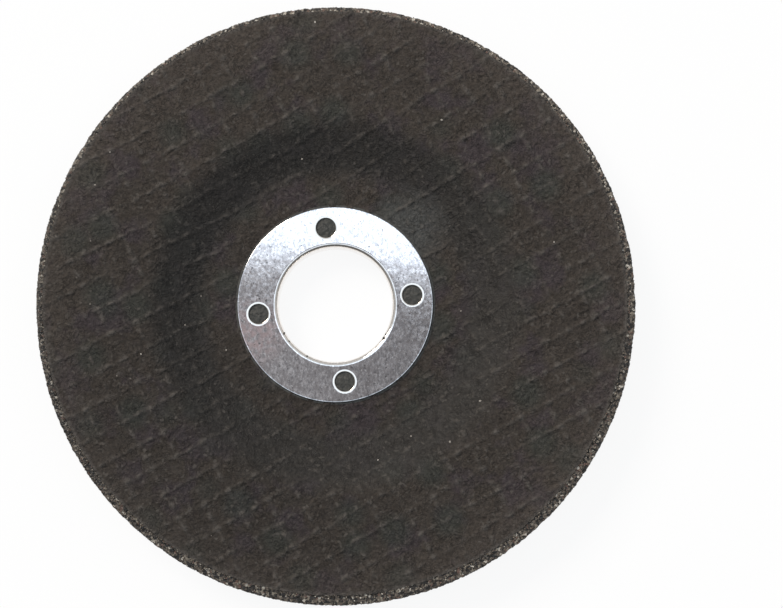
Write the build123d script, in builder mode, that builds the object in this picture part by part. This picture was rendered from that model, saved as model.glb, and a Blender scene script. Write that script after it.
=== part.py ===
from build123d import *
import math
import os

# Depressed-centre grinding disc, lying on its hub with the recessed grinding face up.
# Millimetres and degrees. The origin is on the axis, in the plane of the hub's back face.

# Moulded wheel
disc_diameter = 115.0
thickness = 6.0  # hub and rim alike, over both glass nets
recess_depth = 4.6  # from the grinding face down to the recess floor
recess_radius = 26.5  # where the line of the floor would meet the line of the slope
slope_angle = 27.0
floor_fillet = 8.8
face_fillet = 8.8
back_fillet = 0.0  # outer corner of the back, which the mould leaves sharp
bare_rim = 1.5  # abrasive outside the edges of the nets
rim_fall = 0.5  # how far the bare abrasive falls away towards the rim

# Glass nets pressed into both faces
net_step = 0.5  # how far a net's cut edge stands above the bare abrasive
weave_angle = 29.2  # the heavier threads, from +X
warp_pitch = 5.2  # between the heavier threads
weft_pitch = 5.5  # between the lighter threads
warp_offset = 0.4  # one heavier thread, beside the axis
weft_offset = -1.75  # one lighter thread, beside the axis
warp_width = 1.0
weft_width = 0.8
thread_height = 0.25
net_margin = 0.4  # least that a hollow keeps clear of the net's cut edge and of the dish

# Pressed steel hub ring
bore_diameter = 22.23
flange_width = 7.8  # from the bore outwards
sheet = 0.5
flange_proud = 0.15  # above the recess floor
lip_reach = 0.9  # lip from the flange down into the bore, coned in two steps
collar_inset = 0.1  # collar end short of the hub's back face
hole_diameter = 3.8
hole_setback = 3.9  # from the bore to the middle of a hole
hole_count = 4
hole_turn = 7.0  # first hole, from +X
punch_bevel = 0.15  # soft edge that the punch leaves
ring_clearance = 0.05  # between the ring and the wheel, sideways

# Worked out from the above
disc_radius = disc_diameter / 2
net_radius = disc_radius - bare_rim
bore_radius = bore_diameter / 2
flange_radius = bore_radius + flange_width
collar_radius = bore_radius + sheet
face_height = thickness + recess_depth
flange_top = thickness + flange_proud
slope_run = recess_depth / math.tan(math.radians(slope_angle))
corner_share = math.tan(math.radians(slope_angle / 2))  # a corner's setback for each mm of fillet
face_start = recess_radius + slope_run + face_fillet * corner_share
lip_middle = lip_reach * (1 - math.sqrt(0.5))  # bore to where the lip's cones meet, across and down


def dished_line(depth, outer_fillet):
    """Half section of the dish, from axis to net edge, at a depth square below the grinding face."""
    corner = recess_radius + depth * corner_share
    points = [
        (0, thickness - depth),
        (corner, thickness - depth),
        (corner + slope_run, face_height - depth),
        (net_radius, face_height - depth),
    ]
    return FilletPolyline(points, radius=[floor_fillet + depth, outer_fillet])


def hollow_centres():
    """Centres, along weft and warp, of the net's hollows that lie whole on the flat face."""
    reach_across = (weft_pitch - weft_width) / 2
    reach_up = (warp_pitch - warp_width) / 2
    columns = math.ceil(net_radius / weft_pitch)
    rows = math.ceil(net_radius / warp_pitch)
    centres = []
    for column in range(-columns, columns + 1):
        for row in range(-rows, rows + 1):
            x = weft_offset + (column + 0.5) * weft_pitch
            y = warp_offset + (row + 0.5) * warp_pitch
            nearest = math.hypot(max(abs(x) - reach_across, 0), max(abs(y) - reach_up, 0))
            farthest = math.hypot(abs(x) + reach_across, abs(y) + reach_up)
            if nearest > face_start + net_margin and farthest < net_radius - net_margin:
                centres.append((x, y))
    return centres


# Moulded wheel: abrasive between two nets, with the rim outside the nets left bare
with BuildPart() as moulded_wheel:
    with BuildSketch(Plane.XZ):
        with BuildLine():
            face = dished_line(0, face_fillet)
            back = dished_line(thickness, back_fillet)
            shoulder_top = face_height - net_step
            shoulder_bottom = recess_depth + net_step
            Polyline(
                face @ 1,
                (net_radius, shoulder_top),
                (disc_radius, shoulder_top - rim_fall),
                (disc_radius, shoulder_bottom + rim_fall),
                (net_radius, shoulder_bottom),
                back @ 1,
            )
            Line(face @ 0, back @ 0)
        make_face()
    revolve(axis=Axis.Z)
    with Locations((0, 0, thickness)):
        CounterBoreHole(
            radius=collar_radius + ring_clearance,
            counter_bore_radius=flange_radius + ring_clearance,
            counter_bore_depth=sheet - flange_proud,
        )
    with BuildSketch(Plane.XY.offset(face_height).rotated((0, 0, weave_angle))):
        with Locations(hollow_centres()):
            Rectangle(weft_pitch - weft_width, warp_pitch - warp_width)
    extrude(amount=-thread_height, mode=Mode.SUBTRACT)

# Hub ring: flange and collar drawn from one sheet and punched with four holes
with BuildPart() as hub_ring:
    with BuildSketch(Plane.XZ):
        with BuildLine():
            Polyline(
                (flange_radius, flange_top),
                (bore_radius + lip_reach, flange_top),
                (bore_radius + lip_middle, flange_top - lip_middle),
                (bore_radius, flange_top - lip_reach),
                (bore_radius, collar_inset),
                (collar_radius, collar_inset),
                (collar_radius, flange_top - sheet),
                (flange_radius, flange_top - sheet),
                close=True,
            )
        make_face()
    revolve(axis=Axis.Z)
    with BuildSketch(Plane.XY.offset(flange_top)):
        with PolarLocations(bore_radius + hole_setback, hole_count, start_angle=hole_turn):
            Circle(hole_diameter / 2)
    extrude(amount=-sheet, mode=Mode.SUBTRACT)
    hole_edges = hub_ring.edges(Select.LAST).filter_by(GeomType.CIRCLE)
    chamfer(hole_edges.group_by(Axis.Z)[-1], length=punch_bevel)

os.makedirs("parts", exist_ok=True)
moulded_wheel.part.label = "moulded_wheel"
export_step(moulded_wheel.part, "parts/moulded_wheel.step")
hub_ring.part.label = "hub_ring"
export_step(hub_ring.part, "parts/hub_ring.step")
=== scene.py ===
import math

import bpy
import numpy as np
from mathutils import Euler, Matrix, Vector
from mathutils.geometry import delaunay_2d_cdt


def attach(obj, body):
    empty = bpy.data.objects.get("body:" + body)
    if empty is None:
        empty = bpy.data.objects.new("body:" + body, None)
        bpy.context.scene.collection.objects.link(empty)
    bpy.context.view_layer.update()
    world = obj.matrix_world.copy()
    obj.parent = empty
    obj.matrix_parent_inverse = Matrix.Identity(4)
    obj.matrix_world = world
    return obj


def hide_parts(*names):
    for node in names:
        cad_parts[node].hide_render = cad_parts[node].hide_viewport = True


# Depressed-centre grinding disc lying on its hub, seen from almost straight above.
# Sizes are in millimetres until a mesh is made, which is in metres as the frame is.

MM = 0.001

# Moulded wheel, as in the solids
DISC_RADIUS = 57.5
THICKNESS = 6.0
RECESS_DEPTH = 4.6
RECESS_RADIUS = 26.5
SLOPE = math.radians(27)
FLOOR_FILLET = 8.8
FACE_FILLET = 8.8
NET_RADIUS = 56.0
NET_STEP = 0.5
RIM_FALL = 0.5
WHEEL_BORE = 11.665
POCKET_RADIUS = 18.965
POCKET_FLOOR = 5.65
SHOULDER_TOP = THICKNESS + RECESS_DEPTH - NET_STEP
SHOULDER_BOTTOM = RECESS_DEPTH + NET_STEP

# Hub ring, as in the solids
BORE_RADIUS = 11.115
FLANGE_RADIUS = 18.915
FLANGE_TOP = 6.15
SHEET = 0.5
LIP_RADIUS = 0.9
COLLAR_END = 0.1
HOLE_RADIUS = 1.9
HOLE_CIRCLE = 15.015
HOLE_TURN = math.radians(7)
HOLE_COUNT = 4
HOLE_REACH = 0.45  # how far round a hole the punch drew the sheet down
EDGE_REACH = 0.15  # the same at the flange's outer edge
DRAWN_EDGE = ((0.0, 0), (0.12, 11), (0.78, 18), (0.86, 48), (1.0, 90))  # share of it, degrees of fall
FLANGE_DRIFT = (-0.04, 0.02)  # how far the flange's outline lies off the axis
BURNISH_AND_HIGHLIGHT_FALL = 0.015  # 1 less a normal's height where the steel gets its full burnish and painted highlight
BURNISH_AND_HIGHLIGHT_REACH = 18.0  # radius beyond which there is neither
LIP_BURNISH_AND_HIGHLIGHT = 0.6  # how much of the burnish and painted highlight the lip gets, at most
POCKET_LAP = 0.4  # how far the pocket's floor runs on below the wheel's face

# Glass nets
WARP_PITCH = 5.2
WEFT_PITCH = 5.5
WARP_OFFSET = 0.4
WEFT_OFFSET = -1.75
NET_TURN = math.radians(29.2)
BACK_NET_TURN = math.radians(-14)
WARP_HALF = 0.42
WEFT_HALF = 0.5
KNOT_HALF = (0.6, 0.9)  # of a knot, across the warp and across the weft
BEAD_REACH = 0.8  # half length of the beads that stand up along a thread
BEAD_SHIFT = (0.14, 0.24)  # most along the thread, as a share of the spacing, and most across it
THREAD_HEIGHT = 0.29
THREAD_COVER = (0.08, 0.85, 1.3)  # how much of a thread shows: least, mean and most
RECESS_PALENESS = 0.62  # how much of their paleness the threads keep in the recess
PALER = (32.0, 7.0)  # radius at which they start to be paler, and over how much they become so
CUT_EDGE_PALENESS = 0.85
CUT_EDGE_WIDTH = (0.75, 0.5)  # how far inside the cut edge it starts, and over how much
CUT_SHIFT = (0.55, math.radians(107))  # how far off centre the front net was cut, and which way
CUT_SHORT = 0.08  # how much smaller it was cut
CUT_UNEVEN = (24, 0.16)  # waves round its edge and how far they go
CUT_RAGGED = (240, 0.1)
CUT_SEED = 71
FRONT_SEED = 11
BACK_SEED = 31

# Unevenness of the threads: size of its waves and how far it goes
SWAY = (9.0, 0.14)
WEFT_KINK = (2.4, 0.18)
WARP_KINK = (2.4, 0.27)
THIN_PATCHES = (6.5, 0.7)
BROKEN_SPOTS = (1.6, 0.7)
FRAYS = (0.9, 0.6)

# Bow of the threads away from straight lines: powers of x and y over its reach, and millimetres
BOW_REACH = 50.0
WARP_BOW = (
    (1, 0, 0.4), (0, 1, -0.35), (2, 0, 0.73), (0, 2, 0.83), (1, 1, -0.31),
    (3, 0, -0.84), (1, 2, 1.14), (0, 3, 0.45), (0, 0, -0.98),
)
WEFT_BOW = ((2, 0, 0.11), (0, 2, 0.41), (1, 1, -0.43), (2, 1, -0.58), (0, 3, 0.31), (0, 0, -0.29))

# Cured resin: sizes of its features and how deep they are
WRINKLE_SIZE = 1.3
WRINKLE_DEPTH = 0.14
WRINKLE_BEND = (1.1, 0.5)  # size and reach, as are the next two
WRINKLE_PATCHES = (3.0, 1.1)
SWELL = (2.3, 0.045)
LUMP_SIZE = 0.62
LUMP_DEPTH = 0.055
SKIN_DEPTH = 0.21  # so far down that nothing of it stands above the mould's face
SUNK_BY_THREADS = 0.45  # share of the texture that a thread presses flat
OPEN_FACE = (35.0, 5.0)  # radius beyond which the texture is deeper, and over how much it becomes so
OPEN_FACE_GAIN = 0.3

# Bare abrasive at the rim
RIM_SHARES = (0.5, 1.5, 4.0, 1.6, 0.5)  # of the rows: step, shoulder, wall, shoulder, step
STEP_LEAN = 0.06
RIM_LUMPS = (800, 0.45)  # how many round the rim, and their size across it, as are the next two
RIM_SHOVES = (340, 0.6)
RIM_CHIPS = (180, 1.4)
SHOVE = (0.8, 0.5)  # how far the lumps are shoved round the rim and across it
RIM_SEED = 91
LUMP_SINK = 0.3
CHIP_DEPTH = 0.16
FLAT_SINK = 0.35  # how much of a grain's hollow goes inwards where the rim faces up or down
GRAIN_RADII = (0.13, 0.27)
GRAIN_SEED = 5
ON_FRONT = 0.6  # share of the loose grains that lie on the front shoulder
ON_FRONT_OR_WALL = 0.85
GRAIN_SINK = 0.1
WALL_GRAINS = (5.8, 3.6)  # lowest grain on the wall, and how far up they reach from there
EDGE_GAP = 0.005  # at least between the grains and the disc's outline

# Resin in the punched holes
FILL_SEED = 50
FILL_START = 0.02  # radius of the pinprick left in the middle
FILL_LAP = 0.02  # how far it reaches under the sheet
FILL_LIFT = 0.01
FILL_DOME = 0.24
FILL_LUMP_SIZE = 0.7
FILL_LUMP = 0.09

# Crumbs of resin on the lip and on the flange: degrees from +X, radius from the axis, own radius
CRUMBS = (
    (209.4, 11.42, 0.42), (218.6, 11.42, 0.38), (241.3, 11.42, 0.42), (325.4, 11.5, 0.5),
    (329.5, 11.42, 0.34), (126.6, 16.7, 0.14), (206.4, 17.4, 0.16), (221.8, 13.6, 0.15),
    (166.0, 17.7, 0.12), (192.6, 16.8, 0.13),
)
LIP_CRUMB_SINK = 0.22
CRUMB_LIFT = 0.2  # of its own radius, on the flange
CRUMB_SEED = 8

# Sizes of the tables of random values
NOISE_TABLE = 512
BEAD_TABLE = 256

# Mesh densities
AROUND = 1440
FACE_ROWS = 180
FACE_BANDS = ("hub", "slope", "flat")
RIM_ROWS = 42
BACK_AROUND = 960
BACK_ROWS = 90
RIM_GRAINS = 3400
ROUND_STEPS = 360  # round the ring
HOLE_STEPS = 96
LIP_STEPS = 20
FILL_AROUND = 72
FILL_ROWS = 16

# Where looks change: x and y of a point, the distance up to which it is near and that where it isn't
RECESS_FLOOR = (0, 0, 24, 27)
# Reach of the painted shade on the recess's slope
SLOPE_SHADE_REACH = (0, 0, 33, 37)
INSIDE_DUST = (0, 0, 47, 56)
# Reach of the painted glow beside the ring
GLOW_SPOT = (14.3, 14.8, 3, 9)
# Reach of the painted shade towards the lower left
SHADED_SIDE = (-30, -34, 14, 66)
# Reach of the painted shade on the rim's left side
SHADED_RIM_SIDE = (-57, -6, 14, 84)
# Reach of the painted pinkish reflection on the flange
HAND_REFLECTION_SPOT = (-15.8, -5.4, 2.5, 7.5)

# Tones of the grains: share of them at which each starts, and its colour
GRIT_TONES = (
    (0.0, (0.016, 0.0135, 0.011, 1)),
    (0.4, (0.058, 0.046, 0.036, 1)),
    (0.6, (0.118, 0.096, 0.075, 1)),
    (0.79, (0.126, 0.078, 0.060, 1)),
    (0.85, (0.210, 0.182, 0.145, 1)),
    (0.955, (0.440, 0.405, 0.350, 1)),
)
LOOSE_TONES = (
    (0.0, (0.018, 0.0155, 0.0125, 1)),
    (0.36, (0.076, 0.060, 0.046, 1)),
    (0.58, (0.140, 0.114, 0.088, 1)),
    (0.76, (0.150, 0.092, 0.068, 1)),
    (0.82, (0.240, 0.205, 0.162, 1)),
    (0.935, (0.480, 0.440, 0.380, 1)),
)

# Light: a lamp, a ceiling whose strength goes by the angle from straight up, and a dim patch in it
KEY_POWER = 62.0
KEY_DISTANCE = 3.0
KEY_SIZE = 1.25
KEY_COLOUR = (1.10, 1.0, 0.88)
KEY_AZIMUTH = math.radians(135)  # beyond the upper left of the picture
KEY_ELEVATION = math.radians(40)
CEILING_START = math.radians(30)
CEILING_END = math.radians(42)
CEILING_LIGHT = 1.08
MIDDLE_START = math.radians(9)
MIDDLE_END = math.radians(16)
MIDDLE_LIGHT = 1.1
SIDE_LIGHT = 0.14
FAR_LIGHT = 0.6  # the same on the side that the top of the picture faces
SIDE_SPAN = (-0.9, 0.5)  # directions, towards the picture's top, between which one becomes the other
LOWEST_SKY = 0.05  # least height that a direction is divided by
PATCH_EDGE = 0.0765  # edge across the zenith, as a slope off the vertical, as are the next five
PATCH_SLANT = 0.09
PATCH_BLUR = 0.012
PATCH_NEAR_EDGE = (-0.24, -0.2)
PATCH_SIDE_EDGE = (0.17, 0.13)
PATCH_FADE = (-0.08, 0.05)
PATCH_LIGHT = (0.36, 0.26)
FLOOR_REACH = 3.0  # metres
FLOOR_COLOUR = (0.9, 0.9, 0.9, 1)
FLOOR_GLOW = 0.9  # share of the floor's look that is plain white, the rest being lit
CEILING_COLOUR = (0.88, 0.99, 1.12, 1)
SIDE_COLOUR = (0.98, 0.98, 0.97, 1)
PATCH_COLOUR = (1.01, 0.985, 1.005, 1)

# Camera, for a picture 783 pixels wide; the grains' hollows leave the outline a pixel smaller
PICTURE_WIDTH = 783
PICTURE_HEIGHT = 608
OUTLINE_PIXELS = 300.3
OUTLINE_HEIGHT = 9.6
CAMERA_DISTANCE = 300.0
CAMERA_LEAN = math.radians(2.9)  # off the axis, towards the lower edge of the picture
CAMERA_ASIDE = math.radians(0.8)  # the same towards its right edge
SENSOR = 36.0
AXIS_LEFT = 56.5  # pixels from the picture's middle to the disc's axis
AXIS_DOWN = -0.45
CAMERA_CLIP = (0.01, 20.0)  # metres

# Bare grains on the face: pixels across and down the picture, and their radius in millimetres
FACE_GRAINS = (
    (442, 120, 0.4), (480, 401, 0.4), (411, 436, 0.3), (185, 325, 0.26), (141, 354, 0.26),
    (226, 350, 0.26), (302, 159, 0.28), (315, 22, 0.3), (378, 460, 0.26), (110, 152, 0.26),
    (95, 185, 0.26), (554, 242, 0.32), (461, 311, 0.26), (450, 442, 0.28),
)
FACE_GRAIN_SEED = 9
FACE_GRAIN_SQUASH = 0.5

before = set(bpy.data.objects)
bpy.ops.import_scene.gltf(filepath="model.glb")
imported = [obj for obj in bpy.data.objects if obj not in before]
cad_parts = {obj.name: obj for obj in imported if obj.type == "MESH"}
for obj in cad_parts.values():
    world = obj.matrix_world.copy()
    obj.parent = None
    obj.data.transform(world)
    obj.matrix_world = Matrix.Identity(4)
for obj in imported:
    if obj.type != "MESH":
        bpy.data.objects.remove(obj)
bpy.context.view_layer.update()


# Noise over a plane


def smooth_step(share):
    return share * share * (3 - 2 * share)


def eased(value, start, width):
    """0 up to start, then smoothly up to 1 over the width."""
    return smooth_step(np.clip((value - start) / width, 0, 1))


def cell_of(table, column, row, period=None):
    """Random values of a cell of the plane; period is a whole number of columns."""
    column = column % period if period else column
    return table[column % len(table), row % len(table)]


def noise(x, y, seed, period=None):
    """Gradient noise from about -1 to 1, one feature a unit."""
    turns = np.random.default_rng(seed).uniform(0, 2 * math.pi, (NOISE_TABLE, NOISE_TABLE))
    column = np.floor(x).astype(int)
    row = np.floor(y).astype(int)
    across = x - column
    up = y - row
    total = np.zeros_like(across)
    for i in (0, 1):
        for j in (0, 1):
            turn = cell_of(turns, column + i, row + j, period)
            reach = np.cos(turn) * (across - i) + np.sin(turn) * (up - j)
            weight = smooth_step(1 - np.abs(across - i)) * smooth_step(1 - np.abs(up - j))
            total += weight * reach
    return total * 1.5


def noise_round(angle, count, down, seed):
    """Noise with a whole number of features round the axis."""
    return noise(angle * count / (2 * math.pi) + 0 * down, down + 0 * angle, seed, period=count)


def layered(x, y, seed):
    """Noise in three sizes, each half as large as the one before."""
    total = np.zeros_like(x)
    for scale, octave in ((1, 0), (2, 1), (4, 2)):
        total += noise(x * scale, y * scale, seed + octave) / scale
    return total


def lumps(x, y, seed, period=None):
    """Height, from 0 to 1, of rounded grains packed at random, one a unit; a fourth draw is spare."""
    table = np.random.default_rng(seed).uniform(0, 1, (NOISE_TABLE, NOISE_TABLE, 4))
    column = np.floor(x).astype(int)
    row = np.floor(y).astype(int)
    best = np.zeros(np.shape(x))
    for i in (-1, 0, 1):
        for j in (-1, 0, 1):
            cell = cell_of(table, column + i, row + j, period)
            away_x = column + i + cell[..., 0] - x
            away_y = row + j + cell[..., 1] - y
            best = np.maximum(best, 0.45 + 0.55 * cell[..., 2] - 0.9 * (away_x**2 + away_y**2))
    return np.minimum(best, 1)


# Shape of the wheel


def dish(radius, depth):
    """Height of the dished face at a radius, sunk by depth square to itself."""
    share = math.tan(SLOPE / 2)
    floor_arc = FLOOR_FILLET + depth
    face_arc = FACE_FILLET - depth
    floor = THICKNESS - depth
    corner = RECESS_RADIUS + depth * share
    arc_start = corner - floor_arc * share
    arc_end = corner + RECESS_DEPTH / math.tan(SLOPE) + face_arc * share
    slope_start = arc_start + floor_arc * math.sin(SLOPE)
    slope_end = arc_end - face_arc * math.sin(SLOPE)
    low_reach = np.clip(radius - arc_start, 0, slope_start - arc_start)
    high_reach = np.clip(arc_end - radius, 0, arc_end - slope_end)
    low = floor + floor_arc - np.sqrt(floor_arc**2 - low_reach**2)
    middle = floor + (radius - corner) * math.tan(SLOPE)
    high = floor + RECESS_DEPTH - face_arc + np.sqrt(face_arc**2 - high_reach**2)
    return np.where(radius < slope_start, low, np.where(radius > slope_end, high, middle))


def bow(x, y, terms):
    """How far threads bow away from straight lines."""
    u = x / BOW_REACH
    v = y / BOW_REACH
    total = 0
    for power_x, power_y, size in terms:
        total = total + size * u**power_x * v**power_y
    return total


def wander(x, y, wave, seed):
    """Noise with waves of a size in millimetres, times their reach."""
    size, reach = wave
    return reach * noise(x / size, y / size, seed)


def beads(beside, along, line, spacing, half, seed):
    """Beads along a thread: beside it, along it, which thread it is, and how far apart its beads lie."""
    table = np.random.default_rng(seed).uniform(-1, 1, (BEAD_TABLE, BEAD_TABLE, 3))
    number = np.round(along / spacing).astype(int)
    height = np.zeros_like(beside)
    for step in (-1, 0, 1):
        cell = cell_of(table, line.astype(int), number + step)
        away = along - (number + step + BEAD_SHIFT[0] * cell[..., 0]) * spacing
        aside = beside - BEAD_SHIFT[1] * cell[..., 1]
        bead = np.exp(-((aside / half) ** 2) - (away / BEAD_REACH) ** 2)
        height = np.maximum(height, bead * (0.7 + 0.4 * cell[..., 2]))
    return height


def net_relief(x, y, turn, seed):
    """Height of the pressed-in threads, 0 in the hollows to 1 on a knot, and how pale they look: paler
    fibre and dust on their crests, with a painted highlight there too.
    """
    along = x * math.cos(turn) + y * math.sin(turn) - WEFT_OFFSET - bow(x, y, WEFT_BOW)
    across = y * math.cos(turn) - x * math.sin(turn) - WARP_OFFSET - bow(x, y, WARP_BOW)
    along = along + wander(x, y, SWAY, seed) + wander(x, y, WEFT_KINK, seed + 12)
    across = across + wander(x, y, SWAY, seed + 1) + wander(x, y, WARP_KINK, seed + 13)
    warp = np.round(across / WARP_PITCH)
    weft = np.round(along / WEFT_PITCH)
    beside_warp = across - warp * WARP_PITCH
    beside_weft = along - weft * WEFT_PITCH
    heavy = beads(beside_warp, along, warp, WEFT_PITCH / 2, WARP_HALF, seed + 14)
    light = beads(beside_weft, across - WARP_PITCH / 2, weft, WARP_PITCH, WEFT_HALF, seed + 15)
    core = np.exp(-((beside_warp / WARP_HALF) ** 2))
    strand = np.exp(-((beside_weft / WEFT_HALF) ** 2))
    knot = np.exp(-((beside_warp / KNOT_HALF[0]) ** 2) - (beside_weft / KNOT_HALF[1]) ** 2)
    least, mean, most = THREAD_COVER
    cover = mean + wander(x, y, THIN_PATCHES, seed + 2) + wander(x, y, BROKEN_SPOTS, seed + 3)
    cover = np.clip(cover, least, most)
    threads = np.maximum(0.2 * core + 0.72 * heavy, 0.2 * strand + 0.85 * light) + 0.22 * knot
    # Paleness: partly paler fibre and dust, partly a painted highlight on the crests
    paleness_and_sheen = 0.2 * core + 0.9 * heavy + 0.22 * strand + 1.05 * light + 0.45 * knot
    frayed = mean + wander(x, y, FRAYS, seed + 16)
    return np.clip(threads * cover, 0, 1), np.clip(paleness_and_sheen * cover * frayed, 0, 1)


def resin_skin(x, y, seed):
    """Sunken texture of the cured resin between the threads, in millimetres, never above 0."""
    bend_x = x + wander(x, y, WRINKLE_BEND, seed + 4)
    bend_y = y + wander(x, y, WRINKLE_BEND, seed + 5)
    ridge = np.abs(noise(bend_x / WRINKLE_SIZE, bend_y / WRINKLE_SIZE, seed + 6))
    wrinkles = WRINKLE_DEPTH * (1 - np.clip(ridge * 3.2, 0, 1))
    patches = np.clip(0.5 + wander(x, y, WRINKLE_PATCHES, seed + 9), 0.1, 1)
    grains = LUMP_DEPTH * lumps(x / LUMP_SIZE, y / LUMP_SIZE, seed + 7)
    gain = 1 + OPEN_FACE_GAIN * eased(np.hypot(x, y), *OPEN_FACE)
    return gain * (wrinkles * patches + grains + wander(x, y, SWELL, seed + 8) - SKIN_DEPTH)


def pressed_height(x, y, turn, seed):
    """How far the pressed net and its resin lie below the mould's face, and the threads' paleness."""
    relief, pale = net_relief(x, y, turn, seed)
    sunk = THREAD_HEIGHT * (relief - 1) + resin_skin(x, y, seed) * (1 - SUNK_BY_THREADS * relief)
    return np.minimum(sunk, 0), pale


def net_edge(angle):
    """Radius at which the front net was cut; it isn't quite round."""
    shift, direction = CUT_SHIFT
    radius = NET_RADIUS - CUT_SHORT + shift * np.cos(angle - direction)
    for step, (waves, reach) in enumerate((CUT_UNEVEN, CUT_RAGGED)):
        radius = radius + reach * noise_round(angle, waves, 0, CUT_SEED + step)
    return radius


def pocket_edge(angle):
    """Radius of the pocket in which the flange lies, following the flange's drift."""
    drift = FLANGE_DRIFT[0] * np.cos(angle) + FLANGE_DRIFT[1] * np.sin(angle)
    return POCKET_RADIUS + drift


def round_angles(count):
    return np.arange(count) * 2 * math.pi / count


def plan(radius, angle):
    return radius * np.cos(angle), radius * np.sin(angle)


def turned(radius, height, angle):
    """Points at radii, heights and angles."""
    return np.stack([*plan(radius, angle), height + 0 * angle], -1)


def front_points():
    """The front face from the pocket, with a row on the pocket's floor, to its net's cut edge."""
    angle = round_angles(AROUND)
    start = pocket_edge(angle)
    end = net_edge(angle)
    share = np.linspace(0, 1, FACE_ROWS)[:, None]
    radius = start + (end - start) * share
    angle = angle + 0 * radius
    x, y = plan(radius, angle)
    sunk, pale = pressed_height(x, y, NET_TURN, FRONT_SEED)
    pale *= RECESS_PALENESS + (1 - RECESS_PALENESS) * eased(radius, *PALER)
    inside, width = CUT_EDGE_WIDTH
    pale = np.maximum(pale, CUT_EDGE_PALENESS * np.clip((radius - end + inside) / width, 0, 1))
    points = turned(radius, dish(radius, 0) + sunk, angle)
    skirt = turned(start, POCKET_FLOOR + 0 * start, angle[0])[None]
    return np.concatenate([skirt, points]), np.concatenate([pale[:1], pale])


def back_points():
    """The back face, which runs parallel to the front."""
    angle = round_angles(BACK_AROUND)
    radius = np.linspace(WHEEL_BORE, NET_RADIUS, BACK_ROWS)[:, None] + 0 * angle
    angle = angle + 0 * radius
    x, y = plan(radius, angle)
    sunk, pale = pressed_height(x, y, BACK_NET_TURN, BACK_SEED)
    return turned(radius, dish(radius, THICKNESS) - sunk, angle), pale


def rim_points(front_edge):
    """Bare abrasive from the front net's cut edge round the rim to the back net."""
    angle = round_angles(AROUND)
    start = np.hypot(front_edge[:, 0], front_edge[:, 1])
    corners = [
        (start, front_edge[:, 2]),
        (start + STEP_LEAN, SHOULDER_TOP),
        (DISC_RADIUS, SHOULDER_TOP - RIM_FALL),
        (DISC_RADIUS, SHOULDER_BOTTOM + RIM_FALL),
        (NET_RADIUS, SHOULDER_BOTTOM),
        (NET_RADIUS, RECESS_DEPTH),
    ]
    stops = np.cumsum((0,) + RIM_SHARES)
    travel = np.linspace(0, stops[-1], RIM_ROWS)
    radius = np.empty((RIM_ROWS, AROUND))
    height = np.empty((RIM_ROWS, AROUND))
    for row, at in enumerate(travel):
        part = min(int(np.searchsorted(stops, at, side="right")) - 1, len(RIM_SHARES) - 1)
        share = (at - stops[part]) / RIM_SHARES[part]
        radius[row] = corners[part][0] * (1 - share) + corners[part + 1][0] * share
        height[row] = corners[part][1] * (1 - share) + corners[part + 1][1] * share
    for line in (radius, height):
        line[2:-2] = (line[1:-3] + 2 * line[2:-2] + line[3:-1]) / 4
    travel = travel[:, None]
    shove = noise_round(angle, RIM_SHOVES[0], travel / RIM_SHOVES[1], RIM_SEED + 2)
    around = angle * RIM_LUMPS[0] / (2 * math.pi) + SHOVE[0] * shove
    down = travel / RIM_LUMPS[1] + SHOVE[1] * shove
    grains = lumps(around, down, RIM_SEED, period=RIM_LUMPS[0])
    chips = np.clip(noise_round(angle, RIM_CHIPS[0], travel / RIM_CHIPS[1], RIM_SEED + 1), 0, 1)
    bare = np.clip(np.minimum(travel, stops[-1] - travel) / RIM_SHARES[0], 0, 1)
    inward = bare * (LUMP_SINK * (1 - grains) + CHIP_DEPTH * chips)
    upper = np.clip((travel - stops[1]) / RIM_SHARES[1], 0, 1)
    lower = np.clip((stops[4] - travel) / RIM_SHARES[3], 0, 1)
    middle = (SHOULDER_TOP + SHOULDER_BOTTOM) / 2
    side = smooth_step(upper * lower)
    radius = radius - inward * (FLAT_SINK + (1 - FLAT_SINK) * side)
    height = height - inward * (1 - side) * np.sign(height - middle)
    radius = np.minimum(radius, DISC_RADIUS)
    return turned(radius, height, angle + 0 * radius)


# Meshes


def grid_normals(points):
    """Normals of a closed-round grid of points, facing up for a grid from inside to outside."""
    down_rows = np.gradient(points, axis=0)
    around = np.roll(points, -1, 1) - np.roll(points, 1, 1)
    normals = np.cross(down_rows, around)
    return normals / np.maximum(np.linalg.norm(normals, axis=-1, keepdims=True), 1e-12)


def grid_faces(rows, around, flipped=False):
    row, column = np.meshgrid(np.arange(rows - 1), np.arange(around), indexing="ij")
    first = row * around + column
    second = row * around + (column + 1) % around
    faces = np.stack([first, first + around, second + around, second], -1).reshape(-1, 4)
    return faces[:, ::-1] if flipped else faces


def make_mesh(name, points, faces, normals=None, attributes=None):
    """A mesh object in metres from points in millimetres."""
    mesh = bpy.data.meshes.new(name)
    sizes = np.array([len(face) for face in faces])
    mesh.vertices.add(len(points))
    mesh.vertices.foreach_set("co", (np.asarray(points) * MM).astype(np.float32).ravel())
    mesh.loops.add(int(sizes.sum()))
    mesh.loops.foreach_set("vertex_index", np.concatenate(faces).astype(np.int32))
    mesh.polygons.add(len(faces))
    mesh.polygons.foreach_set("loop_start", np.concatenate([[0], np.cumsum(sizes)[:-1]]).astype(np.int32))
    mesh.polygons.foreach_set("loop_total", sizes.astype(np.int32))
    mesh.update(calc_edges=True)
    mesh.validate()
    mesh.polygons.foreach_set("use_smooth", np.full(len(mesh.polygons), normals is not None))
    for key, values in (attributes or {}).items():
        attribute = mesh.attributes.new(key, "FLOAT", "POINT")
        attribute.data.foreach_set("value", np.asarray(values, np.float32).ravel())
    if normals is not None:
        mesh.normals_split_custom_set_from_vertices(np.asarray(normals, float).tolist())
    return placed(name, mesh)


def placed(name, data):
    """An object of the scene that holds the data."""
    thing = bpy.data.objects.new(name, data)
    bpy.context.scene.collection.objects.link(thing)
    return thing


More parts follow.
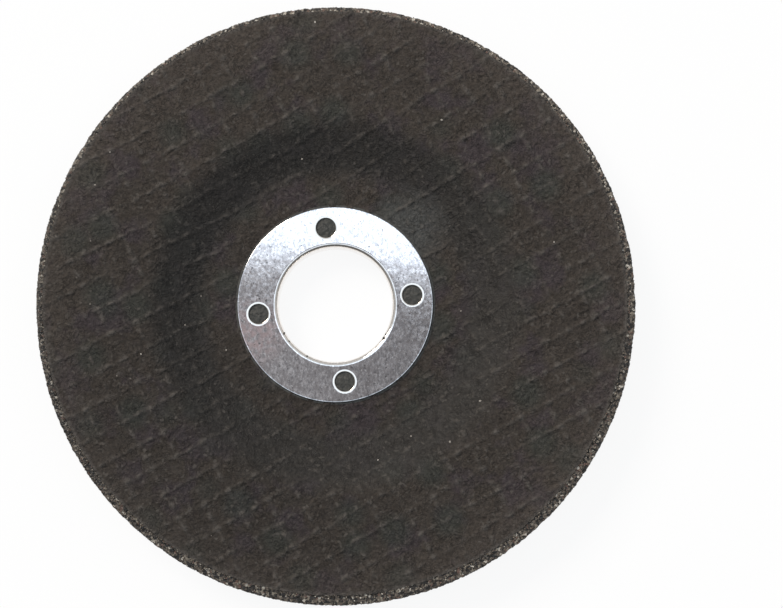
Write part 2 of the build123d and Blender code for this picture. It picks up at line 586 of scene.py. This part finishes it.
def make_grid(name, points, normals=None, flipped=False, attributes=None):
    faces = grid_faces(*points.shape[:2], flipped)
    flat_normals = None if normals is None else normals.reshape(-1, 3)
    return make_mesh(name, points.reshape(-1, 3), faces, flat_normals, attributes)


def dress(piece, material, node):
    piece.data.materials.append(material)
    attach(piece, "root")
    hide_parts(node)


def lathe(profile, around, centre=(0, 0)):
    """Mesh of a profile of (radius, height, normal out, normal up) turned round an axis."""
    angle = round_angles(around)
    profile = np.asarray(profile, float)
    radius, height, out, up = (profile[:, column, None] for column in range(4))
    points = turned(radius, height, angle + 0 * radius)
    points[..., 0] += centre[0]
    points[..., 1] += centre[1]
    normals = turned(out, up, angle + 0 * radius)
    return wound(points.reshape(-1, 3), grid_faces(len(profile), around), normals.reshape(-1, 3))


def wound(points, faces, normals):
    """The same mesh, with its faces turned over if they face away from their normals."""
    facing = np.cross(points[faces[:, 1]] - points[faces[:, 0]], points[faces[:, 2]] - points[faces[:, 0]])
    if (facing * normals[faces[:, 0]]).sum() < 0:
        faces = faces[:, ::-1]
    return points, faces, normals


def rolled_lip():
    """Profile of the lip, from the flat top down into the collar's inner wall."""
    profile = []
    for step in range(LIP_STEPS + 1):
        out = math.sin(math.pi / 2 * step / LIP_STEPS)
        up = math.cos(math.pi / 2 * step / LIP_STEPS)
        profile.append((BORE_RADIUS + LIP_RADIUS * (1 - out), FLANGE_TOP - LIP_RADIUS * (1 - up), -out, up))
    profile.append((BORE_RADIUS, COLLAR_END, -1, 0))
    return profile


def drawn_edge(radius, outward, reach):
    """Profile of the flat top drawn down to a wall at radius; outward is -1 for a hole's wall."""
    profile = []
    height = FLANGE_TOP
    for number, (share, fall) in enumerate(DRAWN_EDGE):
        if number:
            before, last_fall = DRAWN_EDGE[number - 1]
            height -= (share - before) * reach * math.tan(math.radians((fall + last_fall) / 2))
        turn = math.radians(fall)
        at = radius - outward * reach * (1 - share)
        profile.append((at, height, outward * math.sin(turn), math.cos(turn)))
    profile.append((radius, POCKET_FLOOR, outward, 0))
    return profile


def joined(sections):
    """One mesh from sections of points, faces and normals."""
    points, faces, normals = [], [], []
    start = 0
    for section_points, section_faces, section_normals in sections:
        points.append(section_points)
        normals.append(section_normals)
        faces += [np.asarray(face) + start for face in section_faces]
        start += len(section_points)
    return np.concatenate(points), faces, np.concatenate(normals)


def circle(radius, count, centre=(0, 0)):
    angles = round_angles(count)
    return [(centre[0] + radius * math.cos(turn), centre[1] + radius * math.sin(turn)) for turn in angles]


def hole_centres():
    turns = [HOLE_TURN + 2 * math.pi / HOLE_COUNT * step for step in range(HOLE_COUNT)]
    return [(HOLE_CIRCLE * math.cos(turn), HOLE_CIRCLE * math.sin(turn)) for turn in turns]


def flange_top(outer, inner, holes):
    """Flat top of the flange between its outer circle, the lip and the punched holes."""
    loops = [outer, inner] + holes
    points = [point for loop in loops for point in loop]
    edges = []
    start = 0
    for loop in loops:
        count = len(loop)
        edges += [(start + k, start + (k + 1) % count) for k in range(count)]
        start += count
    made = delaunay_2d_cdt([Vector(point) for point in points], edges, [], 0, 1e-7)
    flat = np.array([(point.x, point.y) for point in made[0]])
    kept = []
    # A face is kept by where its middle lies; the margins allow for chords that cut into a circle
    hole_reach = HOLE_RADIUS + HOLE_REACH * 0.9
    lip_reach = BORE_RADIUS + LIP_RADIUS * 0.99
    for face in made[2]:
        middle = flat[list(face)].mean(0)
        clear = all(math.hypot(*(middle - centre)) > hole_reach for centre in hole_centres())
        beyond_lip = math.hypot(*middle) > lip_reach
        inside = math.hypot(*(middle - FLANGE_DRIFT)) < FLANGE_RADIUS
        if clear and beyond_lip and inside:
            kept.append(np.array(face))
    points = np.column_stack([flat, np.full(len(flat), FLANGE_TOP)])
    normals = np.tile((0.0, 0.0, 1.0), (len(flat), 1))
    return points, kept, normals


def ring_sections():
    """Flat top, outer edge, lip with the collar's inside, its end and outside, and the holes' walls."""
    outer = circle(FLANGE_RADIUS - EDGE_REACH, ROUND_STEPS, FLANGE_DRIFT)
    inner = circle(BORE_RADIUS + LIP_RADIUS, ROUND_STEPS)
    holes = [circle(HOLE_RADIUS + HOLE_REACH, HOLE_STEPS, centre) for centre in hole_centres()]
    collar = BORE_RADIUS + SHEET
    end = [(BORE_RADIUS, COLLAR_END, 0, -1), (collar, COLLAR_END, 0, -1)]
    outside = [(collar, COLLAR_END, 1, 0), (collar, POCKET_FLOOR, 1, 0)]
    hole_wall = drawn_edge(HOLE_RADIUS, -1, HOLE_REACH)
    sections = [flange_top(outer, inner, holes)]
    sections.append(lathe(drawn_edge(FLANGE_RADIUS, 1, EDGE_REACH), ROUND_STEPS, FLANGE_DRIFT))
    sections += [lathe(profile, ROUND_STEPS) for profile in (rolled_lip(), end, outside)]
    sections += [lathe(hole_wall, HOLE_STEPS, centre) for centre in hole_centres()]
    return sections


def grain_mesh(places, sizes, seed, squash=0.75):
    """Points and faces of small angular grains, one at each place, all of random shape and turn."""
    golden = (1 + math.sqrt(5)) / 2
    corners = []
    for a in (-1, 1):
        for b in (-golden, golden):
            corners += [(0, a, b), (a, b, 0), (b, 0, a)]
    corners = np.array(corners) / math.hypot(1, golden)
    hull = []
    count = len(corners)
    for i in range(count):
        for j in range(i + 1, count):
            for k in range(j + 1, count):
                normal = np.cross(corners[j] - corners[i], corners[k] - corners[i])
                side = corners @ normal - corners[i] @ normal
                if np.all(side < 1e-9):
                    hull.append((i, j, k))
                elif np.all(side > -1e-9):
                    hull.append((i, k, j))
    rng = np.random.default_rng(seed)
    number = len(places)
    shape = corners[None] * rng.uniform(0.62, 1.0, (number, count, 1))
    shape = shape * rng.uniform(0.6, 1.0, (number, 1, 3))
    spins = rng.normal(size=(number, 4))
    spins /= np.linalg.norm(spins, axis=1, keepdims=True)
    w, x, y, z = (spins[:, column] for column in range(4))
    turns = np.stack(
        [
            np.stack([1 - 2 * (y * y + z * z), 2 * (x * y - z * w), 2 * (x * z + y * w)], -1),
            np.stack([2 * (x * y + z * w), 1 - 2 * (x * x + z * z), 2 * (y * z - x * w)], -1),
            np.stack([2 * (x * z - y * w), 2 * (y * z + x * w), 1 - 2 * (x * x + y * y)], -1),
        ],
        1,
    )
    shape = np.einsum("nij,nkj->nki", turns, shape) * np.asarray(sizes)[:, None, None]
    shape[..., 2] *= squash
    points = (np.asarray(places)[:, None] + shape).reshape(-1, 3)
    faces = (np.array(hull)[None] + np.arange(number)[:, None, None] * count).reshape(-1, 3)
    return points, faces


# Materials


class Nodes:
    """A node tree under construction: add() makes a node and joins its inputs."""

    def __init__(self, tree):
        self.tree = tree

    def add(self, kind, inputs=None, **settings):
        node = self.tree.nodes.new(kind)
        for key, value in settings.items():
            setattr(node, key, value)
        self.feed(node, inputs or {})
        return node

    def feed(self, node, inputs):
        for key, value in inputs.items():
            if isinstance(value, bpy.types.NodeSocket):
                self.tree.links.new(value, node.inputs[key])
            else:
                node.inputs[key].default_value = value

    def between(self, value, low, high, low_out=0.0, high_out=1.0, kind="LINEAR"):
        """One output up to low, the other from high on, and a ramp from low to high."""
        inputs = {"Value": value, "From Min": low, "From Max": high, "To Min": low_out, "To Max": high_out}
        return self.add("ShaderNodeMapRange", inputs, interpolation_type=kind).outputs["Result"]

    def fade(self, value, low, high, low_out=0.0, high_out=1.0):
        """The same with soft ends."""
        return self.between(value, low, high, low_out, high_out, "SMOOTHSTEP")

    def maths(self, operation, first, second):
        return self.add("ShaderNodeMath", {0: first, 1: second}, operation=operation).outputs[0]

    def times(self, first, second):
        return self.maths("MULTIPLY", first, second)

    def mixed(self, share, first, second, blend="MIX"):
        node = self.add("ShaderNodeMix", data_type="RGBA", blend_type=blend)
        self.feed(node, {0: share, 6: first, 7: second})
        return node.outputs[2]


class Shader(Nodes):
    """A material under construction, with its surface and its place in metres."""

    def __init__(self, name):
        self.material = bpy.data.materials.new(name)
        self.material.use_nodes = True
        super().__init__(self.material.node_tree)
        self.surface = self.tree.nodes["Principled BSDF"]
        self.place = self.add("ShaderNodeTexCoord").outputs["Object"]

    def finished(self, colour, rough, normal=None, specular=0.5, metallic=0.0):
        """The material, with these joined to its surface."""
        self.feed(self.surface, {"Base Color": colour, "Roughness": rough, "Metallic": metallic})
        self.feed(self.surface, {"Specular IOR Level": specular})
        if normal is not None:
            self.feed(self.surface, {"Normal": normal})
        return self.material

    def speckle(self, feature, detail=2.0, rough=0.5, curl=0.0, place=None):
        """Noise whose features are about that many millimetres across, drawn out into curls if asked."""
        node = self.add("ShaderNodeTexNoise", {"Vector": place or self.place, "Scale": 1000 / feature})
        self.feed(node, {"Detail": detail, "Roughness": rough, "Distortion": curl})
        return node.outputs["Fac"]

    def cells(self, feature, output="Distance"):
        inputs = {"Vector": self.place, "Scale": 1000 / feature}
        return self.add("ShaderNodeTexVoronoi", inputs).outputs[output]

    def cell_pick(self, feature):
        """A random value from 0 to 1 for each cell."""
        return self.add("ShaderNodeSeparateColor", {0: self.cells(feature, "Color")}).outputs[0]

    def attribute(self, name):
        return self.add("ShaderNodeAttribute", attribute_name=name).outputs["Fac"]

    def sparse_spots(self, cell, radius, share_bare):
        """Round spots of a radius in millimetres, one in some of the cells."""
        spot = self.between(self.cells(cell), (radius + 0.04) / cell, radius / cell)
        picked = self.between(self.cell_pick(cell), share_bare, share_bare + 0.02)
        return self.times(spot, picked)

    def near(self, x, y, inner, outer):
        """1 within inner millimetres of a point of the plan, fading to 0 at outer."""
        flat = self.add("ShaderNodeMapping", {"Vector": self.place, "Scale": (1, 1, 0)}).outputs[0]
        ends = {0: flat, 1: (x * MM, y * MM, 0)}
        apart = self.add("ShaderNodeVectorMath", ends, operation="DISTANCE").outputs["Value"]
        return self.between(apart, outer * MM, inner * MM)

    def bumped(self, height, distance, strength=1.0, under=None):
        """Normal over a height, distance millimetres high, on top of another normal if there is one."""
        inputs = {"Height": height, "Distance": distance * MM, "Strength": strength}
        if under is not None:
            inputs["Normal"] = under
        return self.add("ShaderNodeBump", inputs).outputs["Normal"]


def pressed_resin():
    """Face of the wheel: cured resin over the nets, matt, warm and patchy, with a little dust; painted
    shade on the recess's slope, in creases and towards the lower left, a painted glow beside the ring, and
    threads paler partly as painted highlight.
    """
    shader = Shader("pressed_resin")
    threads = shader.attribute("pale")
    patches = shader.between(shader.speckle(9.0), 0.35, 0.65)
    colour = shader.mixed(patches, (0.0385, 0.0315, 0.0264, 1), (0.0438, 0.0357, 0.0295, 1))
    violet = shader.between(shader.speckle(8.0, 3.0, 0.6), 0.5, 0.62, 0, 0.9)
    colour = shader.mixed(violet, colour, (0.0412, 0.0325, 0.0350, 1))
    green = shader.between(shader.cells(9.0), 0.45, 0.2, 0, 0.75)
    colour = shader.mixed(green, colour, (0.0338, 0.0357, 0.0305, 1))
    # Painted shade: the recess's slope is made darker and more neutral, standing in for the shade in the
    # dished recess.
    outside_floor = shader.maths("SUBTRACT", 1.0, shader.near(*RECESS_FLOOR))
    slope = shader.times(shader.near(*SLOPE_SHADE_REACH), outside_floor)
    colour = shader.mixed(shader.times(slope, 0.85), colour, (0.0318, 0.0294, 0.0272, 1))
    dusty = shader.times(shader.maths("SUBTRACT", 1.0, shader.near(*INSIDE_DUST)), 0.42)
    colour = shader.mixed(dusty, colour, (0.0690, 0.0565, 0.0478, 1))
    # Painted glow: a paler, more neutral patch on the recess floor at the ring's upper right, standing in
    # for glare from the bright flange.
    painted_glow = shader.times(shader.near(*GLOW_SPOT), 0.8)
    colour = shader.mixed(painted_glow, colour, (0.0600, 0.0620, 0.0600, 1))
    # Painted shade: the face is made darker towards the lower left.
    side_shade = shader.times(shader.near(*SHADED_SIDE), 0.9)
    colour = shader.mixed(side_shade, colour, (0.78, 0.79, 0.80, 1), "MULTIPLY")
    # Threads paler: partly paler fibre and dust on their crests, partly a painted highlight where the
    # crests catch the light.
    colour = shader.mixed(shader.between(threads, 0.1, 0.9, 0, 0.8), colour, (0.0740, 0.0660, 0.0590, 1))
    # Painted shade: thin dark crease lines, not following the relief, are multiplied in with a random grime
    # tone.
    bent = shader.maths("ABSOLUTE", shader.maths("SUBTRACT", shader.speckle(1.7, 1.0, 0.5, 2.0), 0.5), 0.0)
    depth = shader.between(bent, 0.09, 0.015, -0.08, 0.4)
    crease_shade_patches = shader.between(shader.speckle(3.5, 1.0), 0.38, 0.58, 0.15, 1.0)
    crease_shade = shader.maths("SUBTRACT", 1.0, shader.times(crease_shade_patches, depth))
    grime_and_crease_shade = shader.between(shader.speckle(0.6, 3.0, 0.7), 0.36, 0.66, 0.72, 1.28)
    grime_and_crease_shade = shader.times(grime_and_crease_shade, crease_shade)
    grime_and_crease_shade = shader.add("ShaderNodeCombineColor", {0: grime_and_crease_shade, 1: grime_and_crease_shade, 2: grime_and_crease_shade}).outputs[0]
    colour = shader.mixed(1.0, colour, grime_and_crease_shade, "MULTIPLY")
    flour = shader.between(shader.speckle(0.75, 0.0), 0.7, 0.82, 0, 0.5)
    colour = shader.mixed(flour, colour, (0.095, 0.086, 0.077, 1))
    pale = shader.sparse_spots(2.6, 0.14, 0.94)
    colour = shader.mixed(pale, colour, (0.19, 0.17, 0.15, 1))
    fine = shader.bumped(shader.speckle(0.2), 0.05, 0.8)
    normal = shader.bumped(shader.speckle(0.8, 1.0, 0.5, 1.8), 0.22, 0.9, fine)
    rough = shader.between(shader.speckle(1.5), 0.3, 0.7, 0.62, 0.9)
    return shader.finished(colour, rough, normal, specular=0.22)


def cut_grit():
    """Bare abrasive at the rim: brown grains with pale, tan and reddish ones among them."""
    shader = Shader("cut_grit")
    colour = grain_tones(shader, shader.cell_pick(0.42), GRIT_TONES)
    fine = shader.bumped(shader.speckle(0.16), 0.06, 0.8)
    normal = shader.bumped(shader.cells(0.4), 0.16, 0.8, fine)
    return shader.finished(colour, 0.42, normal, specular=0.45)


def grain_tones(shader, pick, tones):
    """One of a few tones for each grain, made darker on the rim's left side as painted shade."""
    ramp = shader.add("ShaderNodeValToRGB", {"Fac": pick})
    ramp.color_ramp.interpolation = "CONSTANT"
    while len(ramp.color_ramp.elements) < len(tones):
        ramp.color_ramp.elements.new(0.5)
    for element, (at, colour) in zip(ramp.color_ramp.elements, tones):
        element.position = at
        element.color = colour
    # Painted shade: the grains are darkened on the rim's left side.
    rim_side_shade = shader.times(shader.near(*SHADED_RIM_SIDE), 0.85)
    return shader.mixed(rim_side_shade, ramp.outputs["Color"], (0.5, 0.5, 0.5, 1), "MULTIPLY")


def loose_grain():
    """Single grains of fused alumina, each with a tone of its own."""
    shader = Shader("loose_grain")
    pick = shader.add("ShaderNodeNewGeometry").outputs["Random Per Island"]
    colour = grain_tones(shader, pick, LOOSE_TONES)
    normal = shader.bumped(shader.speckle(0.12), 0.03, 0.6)
    return shader.finished(colour, 0.35, normal)


def pale_grain():
    """Pale grain of abrasive, bare of resin."""
    shader = Shader("pale_grain")
    tone = shader.between(shader.speckle(0.2), 0.35, 0.65)
    colour = shader.mixed(tone, (0.24, 0.215, 0.185, 1), (0.46, 0.42, 0.37, 1))
    return shader.finished(colour, 0.45)


def dark_resin():
    """Resin in the pocket, in the punched holes and in crumbs: darker, with a slight gloss."""
    shader = Shader("dark_resin")
    tone = shader.between(shader.speckle(0.6, 3.0, 0.6), 0.35, 0.65)
    colour = shader.mixed(tone, (0.026, 0.027, 0.024, 1), (0.060, 0.058, 0.052, 1))
    normal = shader.bumped(shader.speckle(0.3, 3.0, 0.6), 0.1, 0.9)
    return shader.finished(colour, 0.6, normal, specular=0.4)


def satin_steel():
    """Plated sheet steel: satin, mottled, with pits and flecks, a painted pinkish reflection, and bright on
    its drawn edges, partly burnish and partly painted highlight.
    """
    shader = Shader("satin_steel")
    drawn = shader.add("ShaderNodeMapping", {"Vector": shader.place, "Scale": (1.0, 0.6, 1.0)}).outputs[0]
    mottle = shader.between(shader.speckle(0.46, 3.0, 0.7, 0.0, drawn), 0.34, 0.66)
    colour = shader.mixed(mottle, (0.40, 0.395, 0.405, 1), (0.94, 0.93, 0.945, 1))
    cloud = shader.between(shader.speckle(1.9, 3.0, 0.65), 0.47, 0.62, 0, 0.6)
    colour = shader.mixed(cloud, colour, (0.50, 0.48, 0.485, 1))
    # Painted reflection: a pinkish patch on the flange's left, standing in for a hand reflected in the
    # steel.
    reflection_patches = shader.between(shader.speckle(1.2), 0.3, 0.6, 0, 0.7)
    painted_reflection = shader.times(shader.near(*HAND_REFLECTION_SPOT), reflection_patches)
    colour = shader.mixed(painted_reflection, colour, (0.88, 0.70, 0.69, 1))
    flecks = shader.between(shader.speckle(0.45, 1.0), 0.69, 0.74)
    colour = shader.mixed(flecks, colour, (1.0, 1.0, 1.0, 1))
    pits = shader.between(shader.speckle(0.5, 0.0, 0.5, 0.5), 0.25, 0.2)
    colour = shader.mixed(pits, colour, (0.27, 0.265, 0.27, 1))
    colour = shader.mixed(shader.sparse_spots(1.3, 0.1, 0.9), colour, (0.12, 0.115, 0.11, 1))
    # Burnished steel and a painted highlight: brighter, warmer colour on the tilted edges of the lip and
    # holes.
    colour = shader.mixed(shader.attribute("burnish_and_highlight"), colour, (1.0, 0.945, 0.875, 1))
    normal = shader.bumped(shader.speckle(0.36, 2.0, 0.6, 0.0, drawn), 0.0015)
    normal = shader.bumped(shader.speckle(1.6), 0.004, 1.0, normal)
    rough = shader.between(shader.speckle(0.7, 3.0, 0.6), 0.3, 0.7, 0.05, 0.11)
    return shader.finished(colour, rough, normal, metallic=1.0)


# Pieces of the disc


def make_face(material):
    """Front face in bands, so that no mesh is too large; gives the points of its outer edge."""
    points, pale = front_points()
    normals = grid_normals(points)
    normals[0] = normals[1]
    band_rows = FACE_ROWS // len(FACE_BANDS)
    for number, band in enumerate(FACE_BANDS):
        rows = slice(number * band_rows, (number + 1) * band_rows + 1)
        looks = {"pale": pale[rows]}
        piece = make_grid("front_face_" + band, points[rows], normals[rows], attributes=looks)
        dress(piece, material, "moulded_wheel")
    return points[-1]


def make_back(material):
    points, pale = back_points()
    piece = make_grid("back_face", points, -grid_normals(points), True, {"pale": pale})
    dress(piece, material, "moulded_wheel")


def hub_pocket():
    """Wall of the hole for the collar, and floor of the pocket for the flange."""
    wall = [(WHEEL_BORE, 0, -1, 0), (WHEEL_BORE, POCKET_FLOOR, -1, 0)]
    floor = [(WHEEL_BORE, POCKET_FLOOR, 0, 1), (POCKET_RADIUS + POCKET_LAP, POCKET_FLOOR, 0, 1)]
    return lathe(wall + floor, ROUND_STEPS)


def rim_grains():
    """Loose grains on the shoulders and the wall of the rim."""
    rng = np.random.default_rng(GRAIN_SEED)
    angle = rng.uniform(0, 2 * math.pi, RIM_GRAINS)
    size = rng.uniform(*GRAIN_RADII, RIM_GRAINS)
    where = rng.uniform(0, 1, RIM_GRAINS)
    spread = rng.uniform(0, 1, RIM_GRAINS)
    on_front = where < ON_FRONT
    on_back = where > ON_FRONT_OR_WALL
    edge = net_edge(angle)
    radius = np.where(on_front, edge + (DISC_RADIUS - edge) * spread, DISC_RADIUS)
    radius = np.where(on_back, NET_RADIUS + (DISC_RADIUS - NET_RADIUS) * spread, radius)
    fall = RIM_FALL * (radius - NET_RADIUS) / (DISC_RADIUS - NET_RADIUS)
    height = np.where(on_front, SHOULDER_TOP - fall - GRAIN_SINK, SHOULDER_BOTTOM + fall + GRAIN_SINK)
    height = np.where(on_front | on_back, height, WALL_GRAINS[0] + WALL_GRAINS[1] * spread)
    radius = np.minimum(radius - GRAIN_SINK, DISC_RADIUS - size - EDGE_GAP)
    return grain_mesh(turned(radius, height, angle), size, GRAIN_SEED + 1)


def hole_fill():
    """Resin pressed up into the flange's holes."""
    end = HOLE_RADIUS + FILL_LAP
    sections = []
    for number, centre in enumerate(hole_centres()):
        radius = np.linspace(FILL_START, end, FILL_ROWS)[:, None]
        angle = round_angles(FILL_AROUND) + 0 * radius
        x = centre[0] + radius * np.cos(angle)
        y = centre[1] + radius * np.sin(angle)
        dome = FILL_DOME * (1 - (radius / end) ** 2)
        uneven = FILL_LUMP * layered(x / FILL_LUMP_SIZE, y / FILL_LUMP_SIZE, FILL_SEED + number)
        points = np.stack([x, y, POCKET_FLOOR + FILL_LIFT + np.maximum(dome + uneven, 0)], -1)
        faces = grid_faces(FILL_ROWS, FILL_AROUND)
        sections.append(wound(points.reshape(-1, 3), faces, grid_normals(points).reshape(-1, 3)))
    return joined(sections)


def make_ring(material):
    points, faces, normals = joined(ring_sections())
    reach = np.hypot(points[:, 0], points[:, 1])
    # Burnish and painted highlight: full wherever the steel tilts, less on the lip, none at the flange's
    # outer edge.
    burnish_and_highlight = np.clip((1 - normals[:, 2]) / BURNISH_AND_HIGHLIGHT_FALL, 0, 1)
    burnish_and_highlight *= np.where(reach > BURNISH_AND_HIGHLIGHT_REACH, 0.0, 1.0)
    burnish_and_highlight *= np.where(reach < BORE_RADIUS + LIP_RADIUS, LIP_BURNISH_AND_HIGHLIGHT, 1.0)
    ring = make_mesh("ring", points, faces, normals, {"burnish_and_highlight": burnish_and_highlight})
    dress(ring, material, "hub_ring")


def crumbs():
    """Crumbs of resin on the bore's edge and on the flange."""
    places = []
    for degrees, radius, size in CRUMBS:
        angle = math.radians(degrees)
        on_lip = radius < BORE_RADIUS + LIP_RADIUS
        height = FLANGE_TOP - LIP_CRUMB_SINK if on_lip else FLANGE_TOP + CRUMB_LIFT * size
        places.append((radius * math.cos(angle), radius * math.sin(angle), height))
    return grain_mesh(places, [size for _, _, size in CRUMBS], CRUMB_SEED)


def camera_frame():
    """Place of the camera in millimetres, its turn, and how many pixels away its picture lies."""
    turn = Euler((CAMERA_LEAN, CAMERA_ASIDE, 0)).to_matrix()
    place = Vector((0, 0, OUTLINE_HEIGHT)) + turn @ Vector((0, 0, CAMERA_DISTANCE))
    return place, turn, OUTLINE_PIXELS / DISC_RADIUS * CAMERA_DISTANCE


def seen_at(across, down, height):
    """Point at a height that the camera sees at a pixel."""
    place, turn, focus = camera_frame()
    right = across - PICTURE_WIDTH / 2 + AXIS_LEFT
    up = PICTURE_HEIGHT / 2 + AXIS_DOWN - down
    ray = turn @ Vector((right, up, -focus))
    return place + ray * ((height - place.z) / ray.z)


def face_grains():
    """Bare grains that show on the face, by their place in the picture."""
    places = []
    for across, down, _ in FACE_GRAINS:
        height = OUTLINE_HEIGHT
        for _ in range(3):
            spot = seen_at(across, down, height)
            x, y = np.array([spot.x]), np.array([spot.y])
            height = float((dish(np.hypot(x, y), 0) + pressed_height(x, y, NET_TURN, FRONT_SEED)[0])[0])
        places.append((spot.x, spot.y, height))
    sizes = [size for _, _, size in FACE_GRAINS]
    return grain_mesh(places, sizes, FACE_GRAIN_SEED, FACE_GRAIN_SQUASH)


# Floor, light and camera


def floor_material():
    """Pale floor that the camera sees as nearly white, with the disc's shadow kept."""
    material = bpy.data.materials.new("floor")
    material.use_nodes = True
    nodes = Nodes(material.node_tree)
    nodes.tree.nodes.clear()
    paths = nodes.add("ShaderNodeLightPath").outputs
    seen = nodes.maths("MAXIMUM", paths["Is Camera Ray"], paths["Is Glossy Ray"])
    seen = nodes.maths("MAXIMUM", seen, paths["Is Transmission Ray"])
    share = nodes.times(seen, FLOOR_GLOW)
    lit = nodes.add("ShaderNodeBsdfDiffuse", {"Color": FLOOR_COLOUR}).outputs[0]
    white = nodes.add("ShaderNodeEmission", {"Color": (1, 1, 1, 1), "Strength": 1.0}).outputs[0]
    blend = nodes.add("ShaderNodeMixShader", {0: share, 1: lit, 2: white}).outputs[0]
    nodes.add("ShaderNodeOutputMaterial", {"Surface": blend})
    return material


def make_floor():
    mesh = bpy.data.meshes.new("floor")
    corners = [(FLOOR_REACH * x, FLOOR_REACH * y, 0) for x, y in ((-1, -1), (1, -1), (1, 1), (-1, 1))]
    mesh.from_pydata(corners, [], [(0, 1, 2, 3)])
    mesh.materials.append(floor_material())
    placed("floor", mesh)


def make_lamp():
    """Soft square lamp beyond the upper left of the picture."""
    light = bpy.data.lights.new("key", "AREA")
    light.shape = "SQUARE"
    light.size = KEY_SIZE
    light.energy = KEY_POWER
    light.color = KEY_COLOUR
    lamp = placed("key", light)
    reach = math.cos(KEY_ELEVATION)
    way = (reach * math.cos(KEY_AZIMUTH), reach * math.sin(KEY_AZIMUTH), math.sin(KEY_ELEVATION))
    lamp.location = Vector(way) * KEY_DISTANCE
    lamp.rotation_euler = (-lamp.location).to_track_quat("-Z", "Y").to_euler()


def make_sky():
    """A pale ceiling overhead, with a dim patch where the camera and its holder stand."""
    world = bpy.data.worlds.new("studio")
    world.use_nodes = True
    sky = Nodes(world.node_tree)
    way = sky.add("ShaderNodeTexCoord").outputs["Generated"]
    east, north, up = sky.add("ShaderNodeSeparateXYZ", {0: way}).outputs
    height = sky.maths("MAXIMUM", up, LOWEST_SKY)
    right = sky.maths("DIVIDE", east, height)
    back = sky.maths("DIVIDE", north, height)
    ceiling_span = (math.cos(CEILING_END), math.cos(CEILING_START))
    middle_span = (math.cos(MIDDLE_END), math.cos(MIDDLE_START))
    side = sky.fade(north, *SIDE_SPAN, SIDE_LIGHT, FAR_LIGHT)
    overhead = sky.fade(up, *ceiling_span, 0, CEILING_LIGHT)
    middle = sky.fade(up, *middle_span, 0, MIDDLE_LIGHT)
    ceiling = sky.maths("ADD", sky.maths("MAXIMUM", side, overhead), middle)
    edge = sky.maths("ADD", back, sky.times(right, PATCH_SLANT))
    shade = sky.fade(edge, PATCH_EDGE + PATCH_BLUR, PATCH_EDGE - PATCH_BLUR)
    shade = sky.times(shade, sky.fade(back, *PATCH_NEAR_EDGE))
    aside = sky.maths("ABSOLUTE", right, 0.0)
    shade = sky.times(shade, sky.fade(aside, *PATCH_SIDE_EDGE))
    dim = sky.times(sky.fade(right, *PATCH_FADE, *PATCH_LIGHT), shade)
    bright = sky.times(ceiling, sky.maths("SUBTRACT", 1.0, shade))
    colour = sky.mixed(sky.fade(up, *ceiling_span), SIDE_COLOUR, CEILING_COLOUR)
    colour = sky.mixed(shade, colour, PATCH_COLOUR)
    strength = sky.maths("ADD", bright, dim)
    sky.feed(sky.tree.nodes["Background"], {"Color": colour, "Strength": strength})
    bpy.context.scene.world = world


def make_camera():
    camera = bpy.data.cameras.new("camera")
    place, turn, focus = camera_frame()
    camera.sensor_width = SENSOR
    camera.lens = focus * SENSOR / PICTURE_WIDTH
    camera.shift_x = AXIS_LEFT / PICTURE_WIDTH
    camera.shift_y = AXIS_DOWN / PICTURE_WIDTH
    camera.clip_start, camera.clip_end = CAMERA_CLIP
    holder = placed("camera", camera)
    holder.rotation_euler = turn.to_euler()
    holder.location = place * MM
    bpy.context.scene.camera = holder


# The scene

resin = pressed_resin()
grit = cut_grit()
grain = loose_grain()
bare_grain = pale_grain()
dark = dark_resin()
steel = satin_steel()

face_edge = make_face(resin)
make_back(resin)
dress(make_grid("bare_rim", rim_points(face_edge)), grit, "moulded_wheel")
dress(make_mesh("hub_pocket", *hub_pocket()), dark, "moulded_wheel")
dress(make_mesh("rim_grains", *rim_grains()), grain, "moulded_wheel")
dress(make_mesh("hole_resin", *hole_fill()), dark, "moulded_wheel")
make_ring(steel)
dress(make_mesh("crumbs", *crumbs()), dark, "moulded_wheel")
dress(make_mesh("face_grains", *face_grains()), bare_grain, "moulded_wheel")

make_floor()
make_lamp()
make_sky()
make_camera()
bpy.context.scene.view_settings.view_transform = "Standard"
